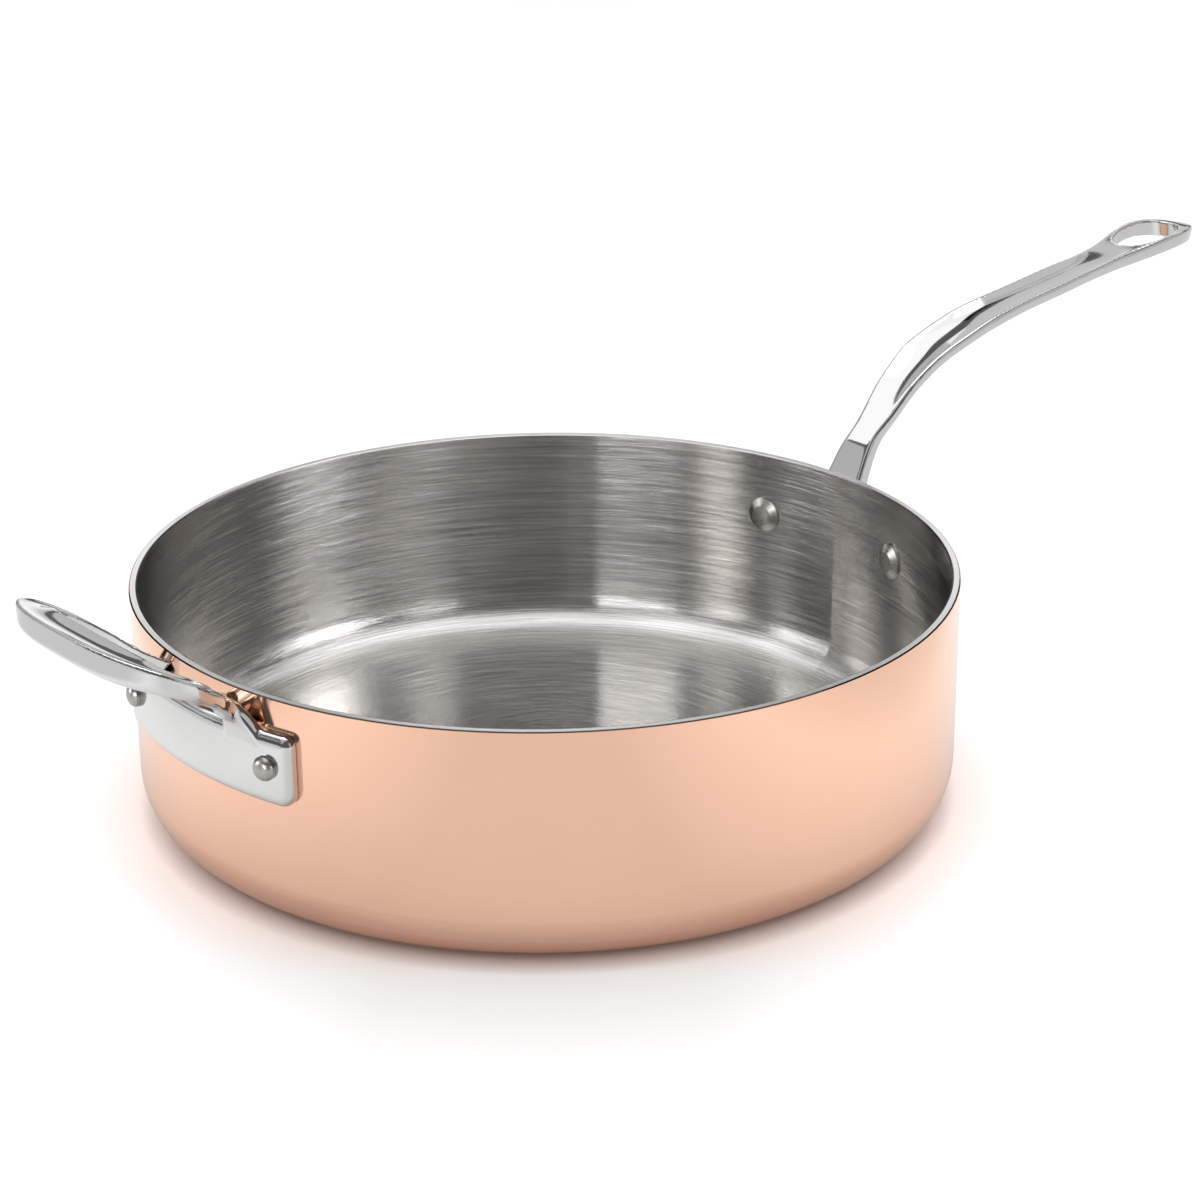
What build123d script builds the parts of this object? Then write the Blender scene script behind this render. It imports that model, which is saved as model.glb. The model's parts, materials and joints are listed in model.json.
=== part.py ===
from build123d import *
import math
import os

os.makedirs("parts", exist_ok=True)

# Lengths in millimetres. The base stands on z = 0, the pan turns about Z, the long handle points along +X.

# Body: three bonded layers, copper outside, aluminium between, steel inside.
PAN_RADIUS = 140.0
PAN_HEIGHT = 80.0
CORNER_RADIUS = 16.5
COPPER_WALL = 0.5
CORE_WALL = 1.8
LINING_WALL = 0.5
RIM_BEVEL = 0.35

# Rivets: a flattened dome inside the pan and a small dome over the plate.
SHANK_RADIUS = 3.0
SHANK_CLEARANCE = 0.05
INNER_HEAD_RADIUS = 6.4
INNER_HEAD_HEIGHT = 2.4
OUTER_HEAD_RADIUS = 4.0
OUTER_HEAD_HEIGHT = 3.4

# Cast plates that hug the wall under each handle: half lengths round the outer face, drops from the rim.
PLATE_THICKNESS = 4.5
PLATE_HEIGHT = 24.0
PLATE_LOW_CORNER = 5.0
PLATE_HIGH_CORNER = 3.6
PLATE_ROUND = 3.0
WEB_ROUND = 8.0
WEB_RISE = 3.0
RIVET_INSET = 9.0
RIVET_LIFT = 13.0
LONG_PLATE_HALF = 44.3
LONG_PLATE_DROP = 36.5
HELPER_PLATE_HALF = 46.4
HELPER_PLATE_DROP = 34.0

# Long handle: reach from the wall to the tip, rise from the rim to the crest.
LONG_REACH = 192.0
LONG_RISE = 64.2
LONG_WIDTH = 25.4
LONG_THICKNESS = 6.0
LONG_DISH = 1.1
LONG_BEVEL = 1.1
LONG_ROOT_HALF = 9.0
EYE_TILT = 9.0
EYE_WIDTH = 20.8
EYE_ROUND = 0.5

# Helper handle: a loop that rises outwards, steep at its roots and flatter at its outer end.
LOOP_HALF_WIDTH = 50.0
LOOP_DEPTH = 51.2
LOOP_POWER = 3.0
LOOP_ANGLE = 31.9
LOOP_BOW = 3.1
LOOP_STAND_OFF = 4.0
LOOP_DROP = 1.2
LOOP_ROOT_HALF = 28.0
LOOP_ROOT_RUN = 8.0
LOOP_ROOT_SPREAD = 6.0
LOOP_ROOT_FALL = 5.0
LOOP_ARM_WIDTH = 8.0
LOOP_END_WIDTH = 15.0
LOOP_ARM_THICKNESS = 5.0
LOOP_ROOT_FLARE = 3.0
LOOP_END_THICKNESS = 8.8
LOOP_DISH = 0.7
LOOP_TOP_BEVEL = 0.7
LOOP_UNDER_BEVEL = 2.0

OVERRUN = 2.0

# The hanging eye's two ends as shares of the long handle's reach.
EYE_START_SHARE = 0.7865
EYE_END_SHARE = 0.9427

# Long handle stations from the root to the tip, along the top face:
# reach, rise, width, thickness and dish, each as a share of the size of that name.
LONG_STATION_SHARES = (
    (-0.010, -0.345, 1.307, 0.70, 0.00),
    (-0.010, -0.240, 1.114, 0.90, 0.00),
    (-0.009, -0.150, 0.891, 1.12, 0.00),
    (-0.003, -0.070, 0.726, 1.10, 0.00),
    (0.009, 0.000, 0.644, 1.03, 0.00),
    (0.033, 0.125, 0.567, 0.97, 0.00),
    (0.059, 0.215, 0.508, 0.90, 0.00),
    (0.093, 0.308, 0.581, 0.77, 0.05),
    (0.134, 0.436, 0.668, 0.74, 0.45),
    (0.172, 0.527, 0.726, 0.75, 0.85),
    (0.214, 0.607, 0.794, 0.75, 1.00),
    (0.257, 0.659, 0.818, 0.76, 1.00),
    (0.300, 0.701, 0.828, 0.77, 1.00),
    (0.338, 0.734, 0.818, 0.79, 1.00),
    (0.378, 0.760, 0.799, 0.80, 1.00),
    (0.454, 0.798, 0.746, 0.80, 1.00),
    (0.546, 0.836, 0.731, 0.81, 1.00),
    (0.637, 0.875, 0.702, 0.83, 0.90),
    (0.690, 0.894, 0.673, 0.85, 0.50),
    (0.728, 0.910, 0.683, 0.88, 0.10),
    (0.774, 0.933, 0.765, 0.93, 0.00),
    (0.820, 0.961, 0.905, 0.98, 0.00),
    (0.863, 0.986, 0.992, 1.02, 0.00),
    (0.892, 0.998, 1.000, 1.04, 0.00),
    (0.918, 1.000, 0.925, 1.05, 0.00),
    (0.948, 0.994, 0.745, 1.05, 0.00),
    (0.971, 0.984, 0.542, 1.07, 0.00),
    (0.989, 0.973, 0.358, 1.02, 0.00),
    (1.000, 0.966, 0.203, 0.97, 0.00),
)

# Helper loop stations as turns round the outline, in degrees from the root to the middle of the outer end.
LOOP_TURNS = (1.5, 4.0, 9.0, 16.0, 26.0, 40.0, 55.0, 70.0, 80.0)

WALL = COPPER_WALL + CORE_WALL + LINING_WALL
BORE_RADIUS = PAN_RADIUS - WALL
PLATE_RADIUS = PAN_RADIUS + PLATE_THICKNESS
HOLE_RADIUS = SHANK_RADIUS + SHANK_CLEARANCE
LONG_PLATE_BASE = PAN_HEIGHT - LONG_PLATE_DROP
HELPER_PLATE_BASE = PAN_HEIGHT - HELPER_PLATE_DROP
EYE_LENGTH = LONG_REACH * (EYE_END_SHARE - EYE_START_SHARE)
EYE_CENTRE = LONG_REACH * (EYE_END_SHARE + EYE_START_SHARE) / 2


def cup(inset, top):
    """Solid of the pan's outline, set in from the outer face by one distance on all sides."""
    height = top - inset
    body = Pos(0, 0, inset) * Cylinder(
        PAN_RADIUS - inset, height, align=(Align.CENTER, Align.CENTER, Align.MIN)
    )
    lower = body.edges().filter_by(GeomType.CIRCLE).sort_by(Axis.Z)[0]
    return fillet(lower, CORNER_RADIUS - inset)


def radial(shape, angle, height):
    """Turn a shape that points along +X to an angle about the pan's axis and lift it."""
    return Rot(0, 0, angle) * Pos(0, 0, height) * shape


def rivet_pair(centre, half, base):
    """Angle about the pan's axis and height of the two rivets of one plate."""
    spread = math.degrees((half - RIVET_INSET) / PLATE_RADIUS)
    return [(centre + side * spread, base + RIVET_LIFT) for side in (-1, 1)]


def rivet_holes(places):
    """Round bores through the wall and the plate at each rivet."""
    length = PAN_RADIUS + PLATE_THICKNESS + OVERRUN
    bore = Rot(0, 90, 0) * Cylinder(HOLE_RADIUS, length, align=(Align.CENTER, Align.CENTER, Align.MIN))
    return Part() + [radial(bore, angle, height) for angle, height in places]


def layer(outer_inset, thickness, holes):
    """One bonded layer of the body, with its rivet holes."""
    shell = cup(outer_inset, PAN_HEIGHT) - cup(outer_inset + thickness, PAN_HEIGHT + OVERRUN)
    return shell - holes


def bevel_rim_edge(shell, radius):
    """Bevel the rim edge that lies at a given radius."""
    at_rim = shell.edges().filter_by(GeomType.CIRCLE).filter_by_position(Axis.Z, PAN_HEIGHT, PAN_HEIGHT)
    edge = min(at_rim, key=lambda e: abs(e.radius - radius))
    return chamfer(edge, RIM_BEVEL)


def inner_head():
    """Flattened dome with a bevelled edge, its seat on z = 0."""
    side_share, bevel_share, land_share = 0.25, 0.86, 0.60
    side = (INNER_HEAD_RADIUS, INNER_HEAD_HEIGHT * side_share)
    land = (INNER_HEAD_RADIUS * land_share, INNER_HEAD_HEIGHT * bevel_share)
    crown = (0, INNER_HEAD_HEIGHT)
    outline = Polyline((0, 0), (INNER_HEAD_RADIUS, 0), side, land)
    outline += Bezier(land, (land[0] / 2, INNER_HEAD_HEIGHT), crown)
    outline += Line(crown, (0, 0))
    return revolve(Plane.XZ * make_face(outline), Axis.Z)


def outer_head():
    """Small dome on a short straight side, its seat on z = 0."""
    side_share, shoulder_share = 0.35, 0.80
    side = (OUTER_HEAD_RADIUS, OUTER_HEAD_HEIGHT * side_share)
    crown = (0, OUTER_HEAD_HEIGHT)
    outline = Polyline((0, 0), (OUTER_HEAD_RADIUS, 0), side)
    outline += Bezier(side, (OUTER_HEAD_RADIUS * shoulder_share, OUTER_HEAD_HEIGHT), crown)
    outline += Line(crown, (0, 0))
    return revolve(Plane.XZ * make_face(outline), Axis.Z)


def rivet():
    """Rivet along +X: the inner head seats on the bore's chord, the outer head on the plate."""
    seat = math.sqrt(BORE_RADIUS**2 - INNER_HEAD_RADIUS**2)
    shank = Cylinder(SHANK_RADIUS, PLATE_RADIUS - seat, align=(Align.CENTER, Align.CENTER, Align.MIN))
    inner = Pos(seat, 0, 0) * Rot(0, -90, 0) * inner_head()
    outer = Pos(PLATE_RADIUS, 0, 0) * Rot(0, 90, 0) * outer_head()
    return Pos(seat, 0, 0) * Rot(0, 90, 0) * shank + inner + outer


def bar_section(plane, width, thickness, dish, top_bevel, under_bevel, offset, lean):
    """Closed outline of a cast bar across its run: dished top, bevelled edges, flat underside.

    The top's middle lies at the offset, and the lean moves the underside sideways.
    """
    half = width / 2
    top_flat, under_flat = half - top_bevel, half - under_bevel
    side_end = thickness - under_bevel

    def spot(across, down):
        return (offset + across + lean * down / thickness, -down)

    rest = Polyline(
        spot(top_flat, 0),
        spot(half, top_bevel),
        spot(half, side_end),
        spot(under_flat, thickness),
        spot(-under_flat, thickness),
        spot(-half, side_end),
        spot(-half, top_bevel),
        spot(-top_flat, 0),
    )
    return plane * make_face([Bezier(spot(-top_flat, 0), spot(0, 2 * dish), spot(top_flat, 0)), rest])


def web_outline(left, right, low, high):
    """Web under one root: a flat top between two concave flares that run out along the plate's top edge."""
    top = high + WEB_RISE
    foot = math.sqrt(WEB_ROUND**2 - (WEB_ROUND - WEB_RISE) ** 2)
    half_turn = math.acos((WEB_ROUND - WEB_RISE) / WEB_ROUND) / 2
    middle = (WEB_ROUND * math.sin(half_turn), WEB_ROUND * (1 - math.cos(half_turn)))
    flares = [
        ThreePointArc((end, top), (end + side * (foot - middle[0]), high + middle[1]), (end + side * foot, high))
        for end, side in ((left, -1), (right, 1))
    ]
    rest = Polyline((left - foot, high), (left - foot, low), (right + foot, low), (right + foot, high))
    return make_face([*flares, rest, Line((left, top), (right, top))])


def plate(half, base, roots):
    """Curved plate on the wall, with concave webs up to the handle's roots."""
    turn = math.degrees(half / PLATE_RADIUS)
    blank = Plane.XZ * Pos(PAN_RADIUS, base) * Rectangle(PLATE_THICKNESS, PLATE_HEIGHT, align=(Align.MIN, Align.MIN))
    body = Rot(0, 0, -turn) * revolve(blank, Axis.Z, 2 * turn)
    ends = body.edges().filter_by(GeomType.LINE).filter_by(Plane.XY).group_by(Axis.Z)
    body = fillet(ends[-1], PLATE_HIGH_CORNER)
    ends = body.edges().filter_by(GeomType.LINE).filter_by(Plane.XY).group_by(Axis.Z)
    body = fillet(ends[0], PLATE_LOW_CORNER)
    high = base + PLATE_HEIGHT
    low = high - PLATE_HEIGHT / 2
    ring = Cylinder(PLATE_RADIUS, 2 * PAN_HEIGHT) - Cylinder(PAN_RADIUS, 2 * PAN_HEIGHT)
    for left, right in roots:
        outline = web_outline(left, right, low, high)
        body += extrude(Plane.YZ * outline, PLATE_RADIUS + OVERRUN) & ring
    root_top = high + WEB_RISE
    outer_face = body.faces().sort_by(SortBy.AREA)[-1]
    outer_rim = outer_face.outer_wire().edges().filter_by_position(Axis.Z, base, root_top, inclusive=(True, False))
    return fillet(outer_rim, PLATE_ROUND)


def long_blade():
    """Loft of the long handle from inside its plate, over the rim and out to the pointed tip."""
    spots = [
        Vector(PAN_RADIUS + reach * LONG_REACH, 0, PAN_HEIGHT + rise * LONG_RISE)
        for reach, rise, width, thickness, dish in LONG_STATION_SHARES
    ]
    sections = []
    for i, (reach, rise, width, thickness, dish) in enumerate(LONG_STATION_SHARES):
        ahead = spots[min(i + 1, len(spots) - 1)] - spots[max(i - 1, 0)]
        sections.append(
            bar_section(
                Plane(spots[i], x_dir=(0, 1, 0), z_dir=ahead),
                width * LONG_WIDTH,
                thickness * LONG_THICKNESS,
                dish * LONG_DISH,
                LONG_BEVEL,
                LONG_BEVEL,
                0,
                0,
            )
        )
    return loft(sections)


def eye():
    """Oval hanging eye, square to the rising flat end of the long handle."""
    level = PAN_HEIGHT + LONG_RISE
    outline = Ellipse(EYE_LENGTH / 2, EYE_WIDTH / 2)
    return Pos(PAN_RADIUS + EYE_CENTRE, 0, level) * Rot(0, -EYE_TILT, 0) * extrude(outline, LONG_WIDTH, both=True)


def long_handle(holes):
    """Plate, neck and blade in one casting, with the eye and the rivet holes."""
    root = [(-LONG_ROOT_HALF, LONG_ROOT_HALF)]
    body = plate(LONG_PLATE_HALF, LONG_PLATE_BASE, root) + long_blade()
    body -= Cylinder(PAN_RADIUS, 2 * PAN_HEIGHT)
    body -= eye()
    nearest = PAN_RADIUS + EYE_CENTRE - EYE_LENGTH
    rims = [e for e in body.edges() if e.center().X > nearest and e.length > EYE_LENGTH + EYE_WIDTH]
    return fillet(rims, EYE_ROUND) - holes


def loop_ridge(turn):
    """Point on the loop's outer top ridge, its height above the chord's plane and the slope there."""
    across, out = math.cos(math.radians(turn)), math.sin(math.radians(turn))
    run_share = out ** (2 / LOOP_POWER)
    draw_in = 1 - (1 - LOOP_ROOT_HALF / LOOP_HALF_WIDTH) * (1 - run_share) ** 2
    side = LOOP_HALF_WIDTH * math.copysign(abs(across) ** (2 / LOOP_POWER), across) * draw_in
    run = LOOP_DEPTH * run_share
    lift = LOOP_BOW * 4 * run_share * (1 - run_share)
    slope = math.radians(LOOP_ANGLE)
    spot = Vector(
        PAN_RADIUS + LOOP_STAND_OFF + run * math.cos(slope) - lift * math.sin(slope),
        side,
        PAN_HEIGHT - LOOP_DROP + run * math.sin(slope) + lift * math.cos(slope),
    )
    local = slope + math.atan(LOOP_BOW * 4 * (1 - 2 * run_share) / LOOP_DEPTH)
    return spot, local, run_share


def loop_stations():
    """Ridge points with their slope and share of the run, from one root round to the other."""
    half = [loop_ridge(turn) for turn in LOOP_TURNS]
    root, slope, share = loop_ridge(0)
    back = Vector(LOOP_ROOT_RUN, LOOP_ROOT_SPREAD, LOOP_ROOT_FALL)
    half = [(root - back, slope, share), (root - back / 2, slope, share), (root, slope, share)] + half
    other = [(Vector(p.X, -p.Y, p.Z), slope, share) for p, slope, share in reversed(half)]
    return half + [loop_ridge(90)] + other


def loop():
    """Loft of the helper's loop: narrow dished arms that widen into the outer end."""
    stations = loop_stations()
    sections = []
    for i, (spot, slope, share) in enumerate(stations):
        ahead = stations[min(i + 1, len(stations) - 1)][0] - stations[max(i - 1, 0)][0]
        up = Vector(-math.sin(slope), 0, math.cos(slope))
        outward = up.cross(ahead).normalized()
        width = LOOP_ARM_WIDTH + (LOOP_END_WIDTH - LOOP_ARM_WIDTH) * share**2
        thickness = LOOP_ARM_THICKNESS + (LOOP_END_THICKNESS - LOOP_ARM_THICKNESS) * share**2
        thickness += LOOP_ROOT_FLARE * (1 - share) ** 12
        sections.append(
            bar_section(
                Plane(spot, x_dir=outward, z_dir=outward.cross(up)),
                width,
                thickness,
                LOOP_DISH,
                LOOP_TOP_BEVEL,
                LOOP_UNDER_BEVEL,
                -width / 2,
                -thickness * outward.Z / up.Z,
            )
        )
    return loft(sections)


def helper_handle(holes):
    """Plate and loop in one casting, turned to the side opposite the long handle."""
    outer = LOOP_ROOT_HALF - LOOP_ROOT_SPREAD
    inner = outer - LOOP_ARM_WIDTH
    roots = [(-outer, -inner), (inner, outer)]
    body = plate(HELPER_PLATE_HALF, HELPER_PLATE_BASE, roots) + loop()
    body -= Cylinder(PAN_RADIUS, 2 * PAN_HEIGHT)
    return Rot(0, 0, 180) * body - holes


long_places = rivet_pair(0, LONG_PLATE_HALF, LONG_PLATE_BASE)
helper_places = rivet_pair(180, HELPER_PLATE_HALF, HELPER_PLATE_BASE)
holes = rivet_holes(long_places + helper_places)
copper_shell = bevel_rim_edge(layer(0, COPPER_WALL, holes), PAN_RADIUS)
aluminium_core = layer(COPPER_WALL, CORE_WALL, holes)
steel_lining = bevel_rim_edge(layer(COPPER_WALL + CORE_WALL, LINING_WALL, holes), BORE_RADIUS)
rivets = [radial(rivet(), angle, height) for angle, height in long_places + helper_places]

nodes = {
    "copper_shell": copper_shell,
    "aluminium_core": aluminium_core,
    "steel_lining": steel_lining,
    "long_handle": long_handle(holes),
    "helper_handle": helper_handle(holes),
    "rivets": Compound(children=rivets),
}
for name, shape in nodes.items():
    export_step(shape, f"parts/{name}.step")
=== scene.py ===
import json
import math

import bmesh
import bpy
import numpy as np
from mathutils import Matrix, Vector

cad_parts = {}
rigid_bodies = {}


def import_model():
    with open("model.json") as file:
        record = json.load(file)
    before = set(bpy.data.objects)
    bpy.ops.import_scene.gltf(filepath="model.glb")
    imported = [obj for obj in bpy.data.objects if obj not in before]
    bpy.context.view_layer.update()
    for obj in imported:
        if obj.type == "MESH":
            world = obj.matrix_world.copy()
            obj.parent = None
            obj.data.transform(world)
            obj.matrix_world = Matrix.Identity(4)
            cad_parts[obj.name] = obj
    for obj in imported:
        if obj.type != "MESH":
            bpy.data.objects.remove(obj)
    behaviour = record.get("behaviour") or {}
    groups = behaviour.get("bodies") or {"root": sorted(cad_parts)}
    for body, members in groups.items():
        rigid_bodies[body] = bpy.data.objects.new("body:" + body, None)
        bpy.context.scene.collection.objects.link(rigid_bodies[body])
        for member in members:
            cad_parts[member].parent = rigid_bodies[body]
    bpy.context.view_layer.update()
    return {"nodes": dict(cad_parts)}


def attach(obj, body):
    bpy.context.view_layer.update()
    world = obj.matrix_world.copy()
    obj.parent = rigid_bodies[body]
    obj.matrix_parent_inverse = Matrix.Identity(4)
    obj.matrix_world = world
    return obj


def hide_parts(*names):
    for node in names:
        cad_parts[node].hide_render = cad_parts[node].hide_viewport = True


# Lengths in metres, in the frame of the CAD: base on z = 0, long handle along +X, and the
# helper handle along -X.
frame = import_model()

# Camera, as fitted to the rim and base of the pan.
IMAGE_WIDTH = 1200
FOCAL_PIXELS = 2854.77
SENSOR_WIDTH = 36.0
CAMERA_DISTANCE = 0.97357
CAMERA_ELEVATION = math.radians(21.6863)
CAMERA_ROLL = math.radians(-0.4111)
CAMERA_TARGET = Vector((0.018418, 0, 0.066103))
HANDLE_TURN = math.radians(39.9)

# Sizes of the pan and its castings, as in the CAD.
PAN_RADIUS = 0.140
PAN_HEIGHT = 0.080
PLATE_THICKNESS = 0.0045
PLATE_HEIGHT = 0.024
PLATE_ROUND = 0.0032
PLATE_LOW_CORNER = 0.005
PLATE_HIGH_CORNER = 0.0036
WEB_ROUND = 0.008
WEB_RISE = 0.003
LONG_PLATE_HALF = 0.0443
LONG_PLATE_BASE = 0.0435
LONG_ROOT_HALF = 0.009
HELPER_PLATE_HALF = 0.0464
HELPER_PLATE_BASE = 0.046
LONG_REACH = 0.192
LONG_RISE = 0.0642
LONG_WIDTH = 0.0254
LONG_THICKNESS = 0.006
LONG_DISH = 0.0013
EYE_CENTRE = 0.166
EYE_LENGTH = 0.030
EYE_WIDTH = 0.0208
EYE_TILT = math.radians(9)
LOOP_HALF_WIDTH = 0.050
LOOP_DEPTH = 0.0512
LOOP_POWER = 3.0
LOOP_SLOPE = math.radians(31.9)
LOOP_BOW = 0.0031
LOOP_STAND_OFF = 0.004
LOOP_DROP = 0.0012
LOOP_ROOT_HALF = 0.028
LOOP_ROOT_BACK = Vector((0.008, 0.006, 0.005))
LOOP_ARM_WIDTH = 0.008
LOOP_END_WIDTH = 0.015
LOOP_ARM_THICKNESS = 0.005
LOOP_END_THICKNESS = 0.0088
LOOP_ROOT_FLARE = 0.001
LOOP_DISH = 0.0009

# Edge rounding of the cast bars, the grain of their skin and how often it is relaxed.
LONG_TOP_ROUND = 0.0012
LONG_UNDER_ROUND = 0.0018
LONG_ROUND_SHARE = 0.3
LOOP_TOP_ROUND = 0.0009
LOOP_UNDER_ROUND = 0.0024
ROOT_THICKNESS = 0.0045
ROOT_EDGE_ROUND = 0.0014
CASTING_GRAIN = 0.00045
CASTING_RELAX = 8
SEAT_GAP = 0.00002
SEAT_RADIUS = PAN_RADIUS + SEAT_GAP

# Web that carries an arm of the loop into its plate: distance from the wall, height, and
# inner and outer edge.
ROOT_STATIONS = (
    (0.0130, 0.0786, 0.0228, 0.0290),
    (0.0105, 0.0770, 0.0222, 0.0290),
    (0.0080, 0.0746, 0.0215, 0.0298),
    (0.0062, 0.0716, 0.0205, 0.0318),
    (0.0052, 0.0688, 0.0200, 0.0340),
    (0.0045, 0.0655, 0.0195, 0.0355),
    (0.0034, 0.0620, 0.0190, 0.0362),
)

# Places round the loop, in degrees from the root to the outer end, that its path runs through.
LOOP_TURNS = (0, 1.5, 4, 9, 16, 26, 40, 55, 70, 80)

# Long handle from the root to the tip: reach, rise, width, thickness and dish, as shares of
# their sizes.
LONG_STATIONS = (
    (-0.010, -0.345, 1.307, 0.70, 0.00),
    (-0.010, -0.240, 1.114, 0.90, 0.00),
    (-0.009, -0.150, 0.891, 1.12, 0.00),
    (-0.003, -0.070, 0.726, 1.10, 0.00),
    (0.009, 0.000, 0.644, 1.03, 0.00),
    (0.033, 0.125, 0.567, 0.97, 0.00),
    (0.059, 0.215, 0.508, 0.90, 0.00),
    (0.093, 0.308, 0.581, 0.77, 0.05),
    (0.134, 0.436, 0.668, 0.74, 0.45),
    (0.172, 0.527, 0.726, 0.75, 0.85),
    (0.214, 0.607, 0.794, 0.75, 1.00),
    (0.257, 0.659, 0.818, 0.76, 1.00),
    (0.300, 0.701, 0.828, 0.77, 1.00),
    (0.338, 0.734, 0.818, 0.79, 1.00),
    (0.378, 0.760, 0.799, 0.80, 1.00),
    (0.454, 0.798, 0.746, 0.80, 1.00),
    (0.546, 0.836, 0.731, 0.81, 1.00),
    (0.637, 0.875, 0.702, 0.83, 0.90),
    (0.690, 0.894, 0.673, 0.85, 0.50),
    (0.728, 0.910, 0.683, 0.88, 0.10),
    (0.774, 0.933, 0.765, 0.93, 0.00),
    (0.820, 0.961, 0.905, 0.98, 0.00),
    (0.863, 0.986, 0.992, 1.02, 0.00),
    (0.892, 0.998, 1.000, 1.04, 0.00),
    (0.918, 1.000, 0.925, 1.05, 0.00),
    (0.948, 0.994, 0.745, 1.05, 0.00),
    (0.971, 0.984, 0.542, 1.07, 0.00),
    (0.989, 0.973, 0.358, 1.02, 0.00),
    (1.000, 0.966, 0.203, 0.97, 0.00),
)

# Share of the finest lines that the broader streaks of a brushed surface have.
BROAD_LINES_SHARE = 0.3

# Studio.
FLOOR_SIZE = 60.0
FLOOR_DROP = 0.0002
WORLD_LEVEL = 0.85
ROOM_LEVEL = 0.16
LAMP_DISTANCE = 1.6
LAMP_AIM = 0.05
CARD_DISTANCE = 4.0


def add_object(name, data):
    """New object in the scene."""
    made = bpy.data.objects.new(name, data)
    bpy.context.scene.collection.objects.link(made)
    return made


def make_camera():
    """Camera at the photograph's angle: the long handle points right and away from it."""
    forward = Vector((0, math.cos(CAMERA_ELEVATION), -math.sin(CAMERA_ELEVATION)))
    level_right = Vector((1, 0, 0))
    level_up = level_right.cross(forward)
    right = level_right * math.cos(CAMERA_ROLL) + level_up * math.sin(CAMERA_ROLL)
    up = level_up * math.cos(CAMERA_ROLL) - level_right * math.sin(CAMERA_ROLL)
    place = CAMERA_TARGET - forward * CAMERA_DISTANCE
    columns = Matrix((right, up, -forward)).transposed().to_4x4()
    columns.translation = place
    lens = bpy.data.cameras.new("camera")
    lens.sensor_width = SENSOR_WIDTH
    lens.lens = SENSOR_WIDTH * FOCAL_PIXELS / IMAGE_WIDTH
    lens.clip_start = 0.05
    lens.clip_end = 2 * FLOOR_SIZE
    camera = add_object("camera", lens)
    camera.matrix_world = Matrix.Rotation(-HANDLE_TURN, 4, "Z") @ columns
    bpy.context.scene.camera = camera


class Nodes:
    """Short helper for building one node tree."""

    def __init__(self, tree):
        self.tree = tree

    def add(self, kind, **values):
        node = self.tree.nodes.new(kind)
        for name, value in values.items():
            setattr(node, name, value)
        return node

    def link(self, source, target):
        self.tree.links.new(source, target)

    def feed(self, value, target):
        """Connect a socket, or set a plain value."""
        if isinstance(value, bpy.types.NodeSocket):
            self.link(value, target)
        else:
            target.default_value = value

    def math(self, operation, *values):
        node = self.add("ShaderNodeMath", operation=operation)
        for value, socket in zip(values, node.inputs):
            self.feed(value, socket)
        return node.outputs[0]

    def remap(self, value, low, high, to_low=0.0, to_high=1.0):
        """Carry a range over to another, held at both ends."""
        node = self.add("ShaderNodeMapRange", clamp=True)
        for fed, socket in zip((value, low, high, to_low, to_high), node.inputs):
            self.feed(fed, socket)
        return node.outputs[0]

    def mix_colour(self, share, first, second):
        node = self.add("ShaderNodeMix", data_type="RGBA")
        self.feed(share, node.inputs[0])
        self.feed(first, node.inputs[6])
        self.feed(second, node.inputs[7])
        return node.outputs[2]

    def noise(self, vector, scale, detail, roughness=0.5):
        node = self.add("ShaderNodeTexNoise")
        self.feed(vector, node.inputs["Vector"])
        self.feed(scale, node.inputs["Scale"])
        node.inputs["Detail"].default_value = detail
        node.inputs["Roughness"].default_value = roughness
        return node.outputs["Fac"]

    def object_place(self):
        """The three object coordinates of the point that is shaded."""
        split = self.add("ShaderNodeSeparateXYZ")
        self.link(self.add("ShaderNodeTexCoord").outputs["Object"], split.inputs[0])
        return split.outputs

    def distance(self, x, y):
        """Distance from the Z axis."""
        squares = [self.math("MULTIPLY", value, value) for value in (x, y)]
        return self.math("SQRT", self.math("ADD", *squares))


def empty_tree(owner):
    """Helper for the cleared node tree of a new material or world."""
    owner.use_nodes = True
    owner.node_tree.nodes.clear()
    return Nodes(owner.node_tree)


def new_group(name, inputs, outputs):
    """Shader node group of plain numbers; returns the helper and its two end nodes."""
    group = bpy.data.node_groups.new(name, "ShaderNodeTree")
    for socket, value in inputs.items():
        made = group.interface.new_socket(socket, in_out="INPUT", socket_type="NodeSocketFloat")
        made.default_value = value
    for socket in outputs:
        group.interface.new_socket(socket, in_out="OUTPUT", socket_type="NodeSocketFloat")
    nodes = Nodes(group)
    return nodes, nodes.add("NodeGroupInput"), nodes.add("NodeGroupOutput")


def lathe_lines_group():
    """Lines that run round the pan's axis, on its wall, corner and floor alike."""
    n, start, end = new_group(
        "lathe_lines", {"Lines per metre": 2600.0, "Breaks": 2.0}, ("Fine", "Broad"),
    )
    x, y, z = n.object_place()
    radius = n.distance(x, y)
    profile = n.math("ADD", radius, z)
    safe = n.math("MAXIMUM", radius, 0.001)
    turn_x = n.math("DIVIDE", x, safe)
    turn_y = n.math("DIVIDE", y, safe)

    def rings(lines):
        join = n.add("ShaderNodeCombineXYZ")
        n.link(n.math("MULTIPLY", profile, lines), join.inputs[0])
        n.link(n.math("MULTIPLY", turn_x, start.outputs["Breaks"]), join.inputs[1])
        n.link(n.math("MULTIPLY", turn_y, start.outputs["Breaks"]), join.inputs[2])
        return n.noise(join.outputs[0], 1.0, 3.0)

    fine_lines = start.outputs["Lines per metre"]
    broad_lines = n.math("MULTIPLY", fine_lines, BROAD_LINES_SHARE)
    n.link(rings(fine_lines), end.inputs["Fine"])
    n.link(rings(broad_lines), end.inputs["Broad"])
    return n.tree


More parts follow.
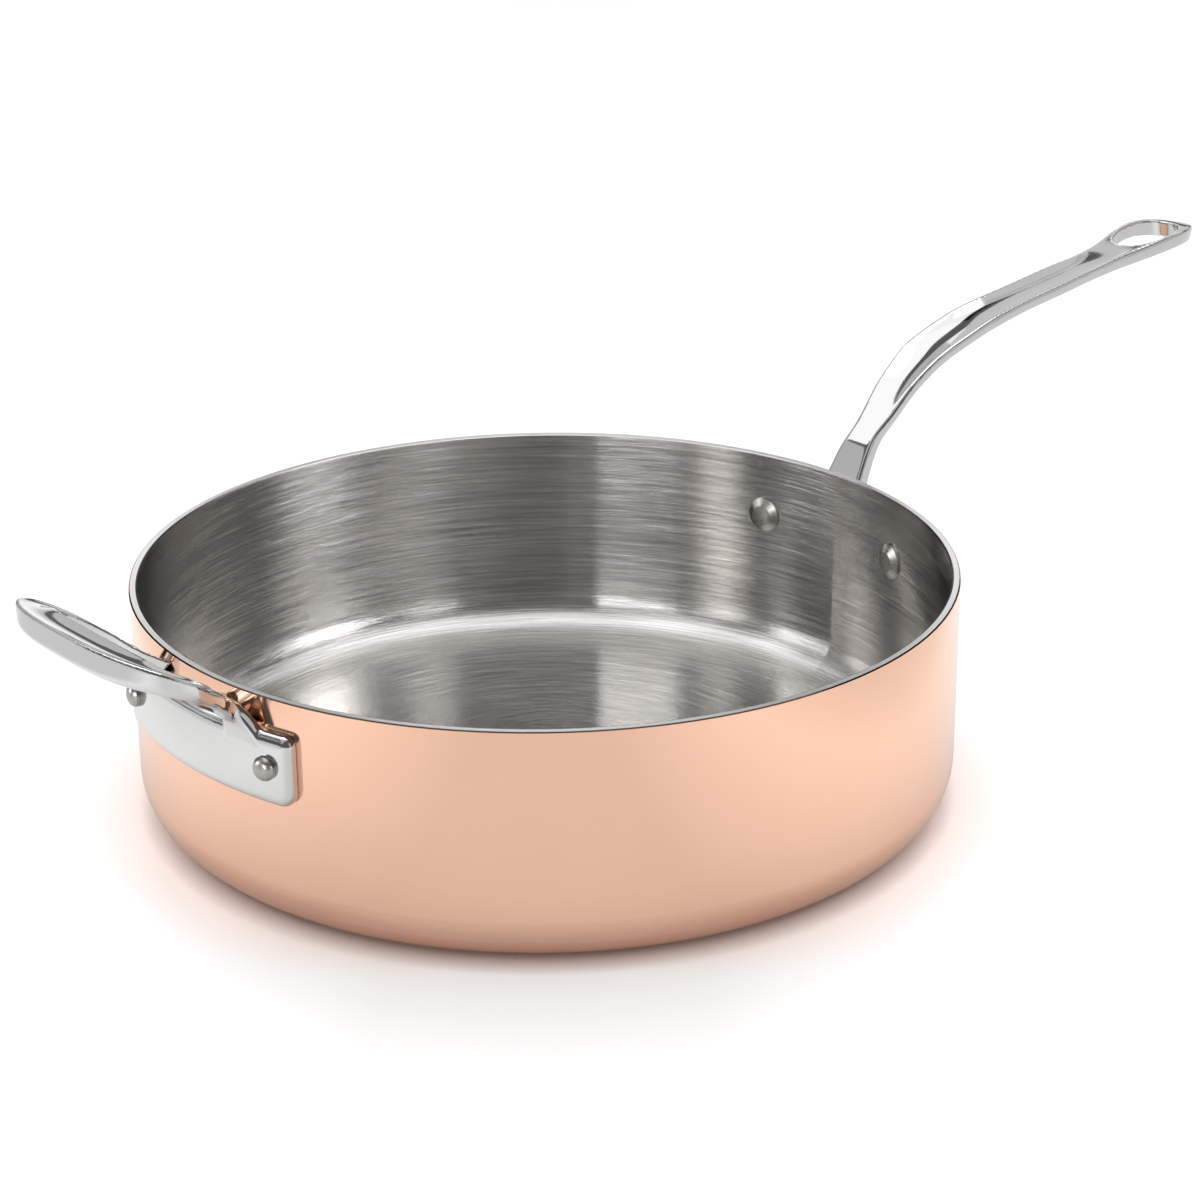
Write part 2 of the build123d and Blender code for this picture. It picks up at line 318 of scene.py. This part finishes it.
def polish_group():
    """Faint unevenness of a hand-polished surface: slow waves, smudges and hairlines."""
    n, start, end = new_group(
        "hand_polish",
        {"Wave scale": 40.0, "Hairline scale": 900.0},
        ("Waves", "Smudges", "Hairlines"),
    )
    place = n.add("ShaderNodeTexCoord").outputs["Object"]
    stretch = n.add("ShaderNodeMapping")
    stretch.inputs["Scale"].default_value = (0.05, 0.3, 1.0)
    n.link(place, stretch.inputs["Vector"])
    n.link(n.noise(place, start.outputs["Wave scale"], 1.0), end.inputs["Waves"])
    n.link(n.noise(place, 25.0, 5.0, 0.6), end.inputs["Smudges"])
    hairs = n.noise(stretch.outputs[0], start.outputs["Hairline scale"], 4.0)
    n.link(hairs, end.inputs["Hairlines"])
    return n.tree


LATHE_LINES = lathe_lines_group()
HAND_POLISH = polish_group()


def new_metal(name):
    """Material with one metallic Principled shader; returns it, the helper and the shader."""
    material = bpy.data.materials.new(name)
    n = empty_tree(material)
    shader = n.add("ShaderNodeBsdfPrincipled")
    shader.inputs["Metallic"].default_value = 1.0
    n.link(shader.outputs[0], n.add("ShaderNodeOutputMaterial").inputs["Surface"])
    return material, n, shader


def brush_round(n, shader, stretch):
    """Draw reflections out across lines that run round the pan's axis."""
    shader.inputs["Anisotropic"].default_value = stretch
    shader.inputs["Anisotropic Rotation"].default_value = 0.25
    tangent = n.add("ShaderNodeTangent", direction_type="RADIAL", axis="Z")
    n.link(tangent.outputs[0], shader.inputs["Tangent"])


def place_group(n, tree, **values):
    """Put a node group into a material, with its inputs set."""
    node = n.add("ShaderNodeGroup", node_tree=tree)
    for socket, value in values.items():
        n.feed(value, node.inputs[socket.replace("_", " ")])
    return node


def bump(n, shader, height, strength, distance):
    """Fine relief on top of the mesh's own shape."""
    node = n.add("ShaderNodeBump")
    node.inputs["Strength"].default_value = strength
    node.inputs["Distance"].default_value = distance
    n.link(height, node.inputs["Height"])
    n.link(node.outputs[0], shader.inputs["Normal"])


def polished_copper():
    """Bright copper with faint smudges and the finest of turned lines."""
    material, n, shader = new_metal("polished_copper")
    smudges = place_group(n, HAND_POLISH).outputs["Smudges"]
    lines = place_group(n, LATHE_LINES, Lines_per_metre=1500.0, Breaks=3.0)
    colour = n.mix_colour(smudges, (0.90, 0.555, 0.405, 1), (0.94, 0.60, 0.445, 1))
    n.link(colour, shader.inputs["Base Color"])
    rough = n.remap(smudges, 0.35, 0.7, 0.09, 0.13)
    rough = n.math("ADD", rough, n.remap(lines.outputs["Fine"], 0.35, 0.65, -0.01, 0.02))
    n.link(rough, shader.inputs["Roughness"])
    bump(n, shader, lines.outputs["Fine"], 0.05, 0.00002)
    return material


def brushed_steel():
    """Lining brushed round the pan's axis, streaked in tone and in gloss."""
    material, n, shader = new_metal("brushed_steel")
    brush_round(n, shader, 1.0)
    lines = place_group(n, LATHE_LINES, Lines_per_metre=4400.0, Breaks=4.0)
    streaks = n.remap(lines.outputs["Broad"], 0.3, 0.7)
    tone = n.mix_colour(streaks, (0.50, 0.485, 0.47, 1), (0.76, 0.745, 0.73, 1))
    n.link(tone, shader.inputs["Base Color"])
    rough = n.remap(lines.outputs["Broad"], 0.3, 0.7, 0.16, 0.20)
    n.link(rough, shader.inputs["Roughness"])
    bump(n, shader, lines.outputs["Fine"], 1.0, 0.00006)
    return material


def bare_aluminium():
    """Pale ground edge of the sheet's middle layer."""
    material, n, shader = new_metal("bare_aluminium")
    brush_round(n, shader, 0.9)
    lines = place_group(n, LATHE_LINES, Lines_per_metre=5000.0, Breaks=2.0)
    tone = n.mix_colour(lines.outputs["Fine"], (0.80, 0.80, 0.80, 1), (0.92, 0.92, 0.92, 1))
    n.link(tone, shader.inputs["Base Color"])
    n.link(n.remap(lines.outputs["Broad"], 0.3, 0.7, 0.40, 0.48), shader.inputs["Roughness"])
    return material


def polished_casting():
    """Mirror-polished cast steel of both handles."""
    material, n, shader = new_metal("polished_casting")
    polish = place_group(n, HAND_POLISH, Wave_scale=60.0)
    tone = n.mix_colour(polish.outputs["Smudges"], (0.63, 0.63, 0.625, 1), (0.70, 0.70, 0.695, 1))
    n.link(tone, shader.inputs["Base Color"])
    n.link(n.remap(polish.outputs["Smudges"], 0.35, 0.7, 0.05, 0.09), shader.inputs["Roughness"])
    bump(n, shader, polish.outputs["Waves"], 0.05, 0.0004)
    return material


def dull_rivet():
    """Tumbled steel, darker than the handles."""
    material, n, shader = new_metal("dull_rivet")
    polish = place_group(n, HAND_POLISH, Wave_scale=300.0, Hairline_scale=1500.0)
    tone = n.mix_colour(polish.outputs["Smudges"], (0.36, 0.35, 0.33, 1), (0.52, 0.50, 0.47, 1))
    n.link(tone, shader.inputs["Base Color"])
    n.link(n.remap(polish.outputs["Hairlines"], 0.3, 0.7, 0.25, 0.4), shader.inputs["Roughness"])
    bump(n, shader, polish.outputs["Waves"], 0.2, 0.0003)
    return material


def paint(node, material):
    """Give a CAD node its material."""
    mesh = frame["nodes"][node].data
    mesh.materials.clear()
    mesh.materials.append(material)


def natural_spline(rows, steps):
    """Smooth curve through rows of values, spaced evenly along the chords of their first three."""
    rows = np.array(rows, float)
    gaps = np.linalg.norm(np.diff(rows[:, :3], axis=0), axis=1)
    count = len(rows)
    system = np.eye(count)
    right = np.zeros_like(rows)
    for i in range(1, count - 1):
        before, after = gaps[i - 1], gaps[i]
        system[i, i - 1:i + 2] = before, 2 * (before + after), after
        right[i] = 6 * ((rows[i + 1] - rows[i]) / after - (rows[i] - rows[i - 1]) / before)
    bend = np.linalg.solve(system, right)
    knots = np.concatenate([[0], np.cumsum(gaps)])
    made = []
    for place in np.linspace(0, knots[-1], steps):
        i = min(max(int(np.searchsorted(knots, place)) - 1, 0), count - 2)
        gap = gaps[i]
        low, high = (knots[i + 1] - place) / gap, (place - knots[i]) / gap
        curve = low * rows[i] + high * rows[i + 1]
        curve += ((low**3 - low) * bend[i] + (high**3 - high) * bend[i + 1]) * gap * gap / 6
        made.append(curve)
    return made


def quarter(steps):
    """Cosine and sine along a quarter turn, both ends included."""
    turns = [math.pi / 2 * step / steps for step in range(steps + 1)]
    return [(math.cos(turn), math.sin(turn)) for turn in turns]


def bar_ring(spot, across, down, width, thickness, dish, top_round, under_round, lean=0.0):
    """Ring round a cast bar from the middle of its top: dished top, round edges, flat underside."""
    half = width / 2
    flat = half - top_round
    under = half - under_round
    ring = []
    for step in range(25):
        share = 1 - step / 12
        ring.append((flat * share, dish * (1 - share * share)))
    for cos, sin in quarter(8)[1:]:
        ring.append((-flat - top_round * sin, top_round * (1 - cos)))
    for cos, sin in quarter(8):
        ring.append((-under - under_round * cos, thickness - under_round * (1 - sin)))
    for step in range(1, 12):
        ring.append((-under + 2 * under * step / 12, thickness))
    for cos, sin in quarter(8):
        ring.append((under + under_round * sin, thickness - under_round * (1 - cos)))
    for cos, sin in quarter(8)[:-1]:
        ring.append((flat + top_round * cos, top_round * (1 - sin)))
    return [spot + across * (x + lean * y / thickness) + down * y for x, y in ring]


def add_rings(body, rings):
    """Closed skin through rings of equal count, with both ends capped."""
    rows = [[body.verts.new(point) for point in ring] for ring in rings]
    count = len(rows[0])
    for first, second in zip(rows, rows[1:]):
        for i in range(count):
            j = (i + 1) % count
            body.faces.new((first[i], first[j], second[j], second[i]))
    body.faces.new(rows[0][::-1])
    body.faces.new(rows[-1])


def along(path):
    """Each row of a path with the direction from the row before to the row after."""
    for i, row in enumerate(path):
        ahead = path[min(i + 1, len(path) - 1)][:3] - path[max(i - 1, 0)][:3]
        yield row, Vector(ahead).normalized()


def long_blade(body):
    """Neck and blade of the long handle, from inside its plate out to the pointed tip."""
    rows = [
        (PAN_RADIUS + reach * LONG_REACH, 0, PAN_HEIGHT + rise * LONG_RISE, width, thickness, dish)
        for reach, rise, width, thickness, dish in LONG_STATIONS
    ]
    across = Vector((0, 1, 0))
    rings = []
    for (x, y, z, width, thickness, dish), ahead in along(natural_spline(rows, 260)):
        down = ahead.cross(across) * -1
        width *= LONG_WIDTH
        top_round = min(LONG_TOP_ROUND, width * LONG_ROUND_SHARE)
        under_round = min(LONG_UNDER_ROUND, width * LONG_ROUND_SHARE)
        rings.append(bar_ring(
            Vector((x, y, z)), across, down, width, thickness * LONG_THICKNESS,
            max(dish, 0) * LONG_DISH, top_round, under_round,
        ))
    add_rings(body, rings)


def loop_ridge(turn):
    """Point on the loop's outer top ridge, the slope there and its share of the run."""
    across, out = math.cos(turn), math.sin(turn)
    share = out ** (2 / LOOP_POWER)
    draw_in = 1 - (1 - LOOP_ROOT_HALF / LOOP_HALF_WIDTH) * (1 - share) ** 2
    side = LOOP_HALF_WIDTH * abs(across) ** (2 / LOOP_POWER) * draw_in
    run = LOOP_DEPTH * share
    lift = LOOP_BOW * 4 * share * (1 - share)
    spot = Vector((
        PAN_RADIUS + LOOP_STAND_OFF + run * math.cos(LOOP_SLOPE) - lift * math.sin(LOOP_SLOPE),
        side,
        PAN_HEIGHT - LOOP_DROP + run * math.sin(LOOP_SLOPE) + lift * math.cos(LOOP_SLOPE),
    ))
    slope = LOOP_SLOPE + math.atan(LOOP_BOW * 4 * (1 - 2 * share) / LOOP_DEPTH)
    return spot, slope, share


def helper_loop(body):
    """Loop of the helper handle: narrow dished arms that widen into the outer end."""
    root, slope, share = loop_ridge(0)
    rows = [(*(root - LOOP_ROOT_BACK), slope, share), (*(root - LOOP_ROOT_BACK / 2), slope, share)]
    for turn in LOOP_TURNS:
        spot, slope, share = loop_ridge(math.radians(turn))
        rows.append((*spot, slope, share))
    other_arm = [(x, -y, *rest) for x, y, *rest in reversed(rows)]
    spot, slope, share = loop_ridge(math.pi / 2)
    path = natural_spline(rows + [(*spot, slope, share)] + other_arm, 280)
    rings = []
    for (x, y, z, slope, share), ahead in along(path):
        up = Vector((-math.sin(slope), 0, math.cos(slope)))
        outward = up.cross(ahead).normalized()
        share = min(max(share, 0), 1)
        width = LOOP_ARM_WIDTH + (LOOP_END_WIDTH - LOOP_ARM_WIDTH) * share**2
        thickness = LOOP_ARM_THICKNESS + (LOOP_END_THICKNESS - LOOP_ARM_THICKNESS) * share**2
        thickness += LOOP_ROOT_FLARE * (1 - share) ** 12
        lean = -thickness * outward.z / up.z
        middle = Vector((x, y, z)) - outward * width / 2
        rings.append(bar_ring(
            middle, outward, -up, width, thickness, LOOP_DISH,
            LOOP_TOP_ROUND, LOOP_UNDER_ROUND, lean,
        ))
    add_rings(body, rings)


def arm_root(body, side):
    """Cast web under one arm of the loop: a hollow curve from the arm down to the plate's face."""
    rows = natural_spline([(out, 0, z, inner, outer) for out, z, inner, outer in ROOT_STATIONS], 40)
    rings = []
    for (out, _, z, inner, outer), ahead in along(rows):
        turn = side * (inner + outer) / 2 / (PAN_RADIUS + PLATE_THICKNESS)
        radial = Vector((math.cos(turn), math.sin(turn), 0))
        across = Vector((-math.sin(turn), math.cos(turn), 0))
        inward = radial * ahead.z - Vector((0, 0, ahead.x))
        spot = radial * (PAN_RADIUS + out) + Vector((0, 0, z))
        rings.append(bar_ring(
            spot, across, inward, outer - inner, ROOT_THICKNESS, 0,
            ROOT_EDGE_ROUND, ROOT_EDGE_ROUND,
        ))
    add_rings(body, rings)


def plate_outline(half, base, roots):
    """Outline of a plate laid flat: round corners, and a web with hollow flares under each root."""
    high = base + PLATE_HEIGHT
    foot = math.sqrt(WEB_ROUND**2 - (WEB_ROUND - WEB_RISE) ** 2)
    low_corner = [
        (half - PLATE_LOW_CORNER * (1 - sin), base + PLATE_LOW_CORNER * (1 - cos))
        for cos, sin in quarter(12)
    ]
    high_corner = [
        (half - PLATE_HIGH_CORNER * (1 - cos), high - PLATE_HIGH_CORNER * (1 - sin))
        for cos, sin in quarter(12)
    ]
    webs = []
    for left, right in roots:
        flare = []
        for step in range(11):
            away = foot * step / 10
            flare.append((away, high + WEB_ROUND - math.sqrt(WEB_ROUND**2 - (foot - away) ** 2)))
        webs += [(right + away, z) for away, z in reversed(flare)]
        webs += [(left - away, z) for away, z in flare]
    left_side = [(-x, z) for x, z in reversed(low_corner + high_corner)]
    return low_corner + high_corner + webs + left_side


def bent_plate(half, base, roots):
    """Cast plate with a broadly rounded outer edge, bent to hug the pan's wall."""
    outline = [Vector((x, 0, z)) for x, z in plate_outline(half, base, roots)]
    count = len(outline)
    inward = []
    for i, point in enumerate(outline):
        run = (outline[(i + 1) % count] - outline[i - 1]).normalized()
        inward.append(Vector((-run.z, 0, run.x)))
    rings = [outline]
    for cos, sin in quarter(10):
        out = PLATE_THICKNESS - PLATE_ROUND * (1 - sin)
        rise = Vector((0, out, 0))
        inset = PLATE_ROUND * (1 - cos)
        rings.append([point + way * inset + rise for point, way in zip(outline, inward)])
    flat = bmesh.new()
    add_rings(flat, rings)
    mesh = skinned(flat, "flat_plate")
    bent = bmesh.new()
    bent.from_mesh(mesh)
    bpy.data.meshes.remove(mesh)
    for vert in bent.verts:
        x, y, z = vert.co
        turn = x / (PAN_RADIUS + PLATE_THICKNESS)
        vert.co = Vector(((PAN_RADIUS + y) * math.cos(turn), (PAN_RADIUS + y) * math.sin(turn), z))
    return bent


def add_skin(holder):
    """Even voxel skin as the next modifier."""
    skin = holder.modifiers.new("skin", "REMESH")
    skin.mode = "VOXEL"
    skin.voxel_size = CASTING_GRAIN


def skinned(body, name, cutter=None, smoothing=0):
    """One even skin round the closed bodies of a mesh, cut if asked and smoothed."""
    bmesh.ops.recalc_face_normals(body, faces=body.faces[:])
    mesh = bpy.data.meshes.new(name)
    body.to_mesh(mesh)
    body.free()
    holder = add_object(name, mesh)
    add_skin(holder)
    if cutter:
        cut = holder.modifiers.new("cut", "BOOLEAN")
        cut.operation = "DIFFERENCE"
        cut.solver = "EXACT"
        cut.object = cutter
        add_skin(holder)
    if smoothing:
        relax = holder.modifiers.new("relax", "SMOOTH")
        relax.factor = 0.5
        relax.iterations = smoothing
    finished = holder.evaluated_get(bpy.context.evaluated_depsgraph_get())
    made = bpy.data.meshes.new_from_object(finished)
    made.name = name
    bpy.data.objects.remove(holder)
    bpy.data.meshes.remove(mesh)
    return made


def cast_piece(name, node, mesh, material, side):
    """Seat a casting on the wall, turn it to its side of the pan and put it in its node's place."""
    places = np.empty(3 * len(mesh.vertices), np.float32)
    mesh.vertices.foreach_get("co", places)
    places = places.reshape(-1, 3)
    radius = np.hypot(places[:, 0], places[:, 1])
    # Below the rim nothing lies deeper than the wall's face.
    push = np.where(places[:, 2] < PAN_HEIGHT, np.maximum(SEAT_RADIUS / radius, 1), 1)
    places[:, :2] *= side * push[:, None]
    mesh.vertices.foreach_set("co", places.ravel())
    mesh.polygons.foreach_set("use_smooth", [True] * len(mesh.polygons))
    mesh.materials.append(material)
    mesh.update()
    made = add_object(name, mesh)
    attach(made, "root")
    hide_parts(node)


def drum(name, radius_x, radius_y, place, height):
    """Closed oval cylinder used as a cutting tool."""
    body = bmesh.new()
    rings = []
    turns = [2 * math.pi * step / 256 for step in range(256)]
    for level in (-height / 2, height / 2):
        points = [(radius_x * math.cos(turn), radius_y * math.sin(turn), level) for turn in turns]
        rings.append([place @ Vector(point) for point in points])
    add_rings(body, rings)
    bmesh.ops.recalc_face_normals(body, faces=body.faces[:])
    mesh = bpy.data.meshes.new(name)
    body.to_mesh(mesh)
    body.free()
    return add_object(name, mesh)


def pale_floor():
    """White floor sheet that the metal mirrors, with painted glow; the pan's soft shadow on it is
    partly painted.
    """
    material = bpy.data.materials.new("pale_floor")
    n = empty_tree(material)
    rays = n.add("ShaderNodeLightPath").outputs
    x, y, _ = n.object_place()
    # Distances from the pan's axis: all round, and to the left or right in the photograph.
    radius = n.distance(x, y)
    part_x = n.math("MULTIPLY", x, math.cos(HANDLE_TURN))
    part_y = n.math("MULTIPLY", y, math.sin(HANDLE_TURN))
    across = n.math("ABSOLUTE", n.math("SUBTRACT", part_x, part_y))

    # Painted glow that metal mirrors: none under the pan, most beside it, little before it or far
    # out.
    mirrored = n.remap(across, 0.08, 0.22, 0.18, 0.44)
    mirrored = n.math("MULTIPLY", mirrored, n.remap(radius, 0.118, 0.155))
    mirrored = n.math("MULTIPLY", mirrored, n.remap(across, 0.22, 0.32, 1.0, 0.3))
    mirrored = n.math("MULTIPLY", mirrored, rays["Is Glossy Ray"])

    # Glow that is seen straight: none under the pan and less before it, painted shade that tightens
    # the pan's real shadow.
    shown = n.math("MAXIMUM", rays["Is Camera Ray"], rays["Is Transmission Ray"])
    plateau = n.remap(across, 0.05, 0.13, 0.38, 0.58)
    shown = n.math("MULTIPLY", shown, n.math("MULTIPLY", plateau, n.remap(radius, 0.130, 0.142)))

    # Painted warm glow on the floor close by, standing in for light that the copper throws.
    reach = n.remap(across, 0.03, 0.10, 0.142, 0.168)
    painted_copper_glow = n.mix_colour(n.remap(radius, 0.134, reach), (1.0, 0.74, 0.66, 1), (1, 1, 1, 1))
    glow = n.add("ShaderNodeEmission")
    n.link(painted_copper_glow, glow.inputs["Color"])
    n.link(n.math("ADD", mirrored, shown), glow.inputs["Strength"])

    # Matt sheet with a faint gloss round the base.
    matt = n.add("ShaderNodeBsdfDiffuse")
    matt.inputs["Color"].default_value = (0.82, 0.82, 0.82, 1)
    sheen = n.add("ShaderNodeBsdfGlossy")
    sheen.inputs["Roughness"].default_value = 0.22
    coated = n.add("ShaderNodeMixShader")
    n.link(n.remap(radius, 0.13, 0.19, 0.10, 0.0), coated.inputs[0])
    n.link(matt.outputs[0], coated.inputs[1])
    n.link(sheen.outputs[0], coated.inputs[2])
    both = n.add("ShaderNodeAddShader")
    n.link(coated.outputs[0], both.inputs[0])
    n.link(glow.outputs[0], both.inputs[1])
    n.link(both.outputs[0], n.add("ShaderNodeOutputMaterial").inputs["Surface"])

    half = FLOOR_SIZE / 2
    mesh = bpy.data.meshes.new("floor")
    points = [(x * half, y * half, -FLOOR_DROP) for x, y in ((-1, -1), (1, -1), (1, 1), (-1, 1))]
    mesh.from_pydata(points, [], [(0, 1, 2, 3)])
    mesh.materials.append(material)
    floor = add_object("floor", mesh)


def away_from_pan(azimuth, elevation):
    """Direction from the pan; azimuth 0 is the photograph's right, and 90 is its far side."""
    turn = math.radians(azimuth) - HANDLE_TURN
    lift = math.radians(elevation)
    flat = math.cos(lift)
    return Vector((math.cos(turn) * flat, math.sin(turn) * flat, math.sin(lift)))


def softbox(name, azimuths, elevations, level, receivers=None):
    """Area lamp over a range of angles, as bright as its level says when seen in a mirror."""
    azimuth, elevation = sum(azimuths) / 2, sum(elevations) / 2
    half_turn = math.radians(azimuths[1] - azimuths[0]) / 2
    half_lift = math.radians(elevations[1] - elevations[0]) / 2
    away = away_from_pan(azimuth, elevation)
    lamp = bpy.data.lights.new(name, "AREA")
    lamp.shape = "RECTANGLE"
    lamp.size = 2 * LAMP_DISTANCE * math.tan(half_turn)
    lamp.size_y = 2 * LAMP_DISTANCE * math.tan(half_lift)
    lamp.energy = level * math.pi * lamp.size * lamp.size_y
    lamp_object = add_object(name, lamp)
    lamp_object.location = away * LAMP_DISTANCE + Vector((0, 0, LAMP_AIM))
    lamp_object.rotation_euler = away.to_track_quat("Z", "Y").to_euler()
    lamp_object.visible_camera = False
    if receivers:
        lamp_object.light_linking.receiver_collection = receivers


def card(name, azimuths, elevations, shade):
    """Curved studio card round the set, seen only in polished metal."""
    steps = 24
    rows = 8
    points = []
    for row in range(rows + 1):
        elevation = elevations[0] + (elevations[1] - elevations[0]) * row / rows
        for step in range(steps + 1):
            azimuth = azimuths[0] + (azimuths[1] - azimuths[0]) * step / steps
            points.append(away_from_pan(azimuth, elevation) * CARD_DISTANCE)
    faces = []
    for row in range(rows):
        for step in range(steps):
            low = row * (steps + 1) + step
            faces.append((low, low + 1, low + steps + 2, low + steps + 1))
    mesh = bpy.data.meshes.new(name)
    mesh.from_pydata(points, [], faces)
    material = bpy.data.materials.new(name)
    n = empty_tree(material)
    glow = n.add("ShaderNodeEmission")
    glow.inputs["Strength"].default_value = shade
    n.link(glow.outputs[0], n.add("ShaderNodeOutputMaterial").inputs["Surface"])
    mesh.materials.append(material)
    made = add_object(name, mesh)
    made.visible_camera = False
    made.visible_diffuse = False
    made.visible_shadow = False


def studio():
    """White room with soft boxes, and dark cards that give the polished metal its contrast."""
    world = bpy.data.worlds.new("studio")
    n = empty_tree(world)
    rays = n.add("ShaderNodeLightPath").outputs
    seen = n.math("MAXIMUM", rays["Is Camera Ray"], rays["Is Glossy Ray"])
    seen = n.math("MAXIMUM", seen, rays["Is Transmission Ray"])
    room = n.add("ShaderNodeBackground")
    shown = n.remap(rays["Is Camera Ray"], 0.0, 1.0, ROOM_LEVEL, 1.0)
    n.link(n.remap(seen, 0.0, 1.0, WORLD_LEVEL, shown), room.inputs["Strength"])
    n.link(room.outputs[0], n.add("ShaderNodeOutputWorld").inputs["Surface"])
    bpy.context.scene.world = world

    # Each box lights one group of pieces: the castings, the inside, the ground rim, or all but
    # the inside.
    castings, inside, outside, rim = (
        bpy.data.collections.new(name) for name in ("castings", "inside", "outside", "rim")
    )
    inside.objects.link(frame["nodes"]["steel_lining"])
    inside.objects.link(frame["nodes"]["rivets"])
    rim.objects.link(frame["nodes"]["aluminium_core"])
    for made in bpy.context.scene.objects:
        if made.name.endswith("_casting"):
            castings.objects.link(made)
        if made.type == "MESH" and made.name not in inside.objects:
            outside.objects.link(made)
    softbox("overhead", (70, 110), (62, 98), 1.5, outside)
    softbox("casting_top", (87, 148), (44, 75), 1.3, castings)
    softbox("casting_ceiling", (30, 150), (66, 114), 0.45, castings)
    softbox("casting_back", (98, 180), (8, 40), 0.5, castings)
    softbox("casting_behind_eye", (73, 92), (8, 30), 0.6, castings)
    softbox("casting_back_right", (40, 74), (8, 52), 0.6, castings)
    softbox("casting_right", (-40, 34), (4, 40), 0.5, castings)
    softbox("rim_back", (60, 120), (6, 40), 1.0, rim)
    softbox("inside_top", (50, 130), (50, 116), 1.5, inside)
    softbox("inside_left", (173, 193), (5, 24), 6.0, inside)
    softbox("inside_left_high", (170, 180), (43, 52), 1.8, inside)
    softbox("inside_left_front", (211, 222), (5, 24), 1.0, inside)
    softbox("inside_front", (230, 254), (5, 24), 5.6, inside)
    softbox("inside_right_front", (303, 312), (5, 24), 4.2, inside)
    softbox("inside_right", (335, 354), (5, 24), 13.0, inside)
    softbox("inside_right_high", (358, 369), (44, 53), 3.0, inside)
    card("casting_edge", (77, 90), (35, 58), 0.01)
    card("right_back_card", (3, 60), (2, 60), 0.01)
    card("left_back_card", (108, 163), (2, 29), 0.01)


make_camera()
paint("copper_shell", polished_copper())
paint("aluminium_core", bare_aluminium())
paint("steel_lining", brushed_steel())
casting = polished_casting()
paint("long_handle", casting)
paint("helper_handle", casting)

eye_place = Matrix.Translation((PAN_RADIUS + EYE_CENTRE, 0, PAN_HEIGHT + LONG_RISE))
eye_place = eye_place @ Matrix.Rotation(-EYE_TILT, 4, "Y")
eye = drum("eye_tool", EYE_LENGTH / 2, EYE_WIDTH / 2, eye_place, 2 * LONG_WIDTH)
long_body = bent_plate(LONG_PLATE_HALF, LONG_PLATE_BASE, [(-LONG_ROOT_HALF, LONG_ROOT_HALF)])
long_blade(long_body)
long_mesh = skinned(long_body, "long_handle_casting", eye, CASTING_RELAX)
cast_piece("long_handle_casting", "long_handle", long_mesh, casting, 1)
bpy.data.objects.remove(eye)

helper_body = bent_plate(HELPER_PLATE_HALF, HELPER_PLATE_BASE, [])
helper_loop(helper_body)
arm_root(helper_body, 1)
arm_root(helper_body, -1)
helper_mesh = skinned(helper_body, "helper_handle_casting", None, CASTING_RELAX)
cast_piece("helper_handle_casting", "helper_handle", helper_mesh, casting, -1)

paint("rivets", dull_rivet())
pale_floor()
studio()
bpy.context.scene.view_settings.view_transform = "Standard"
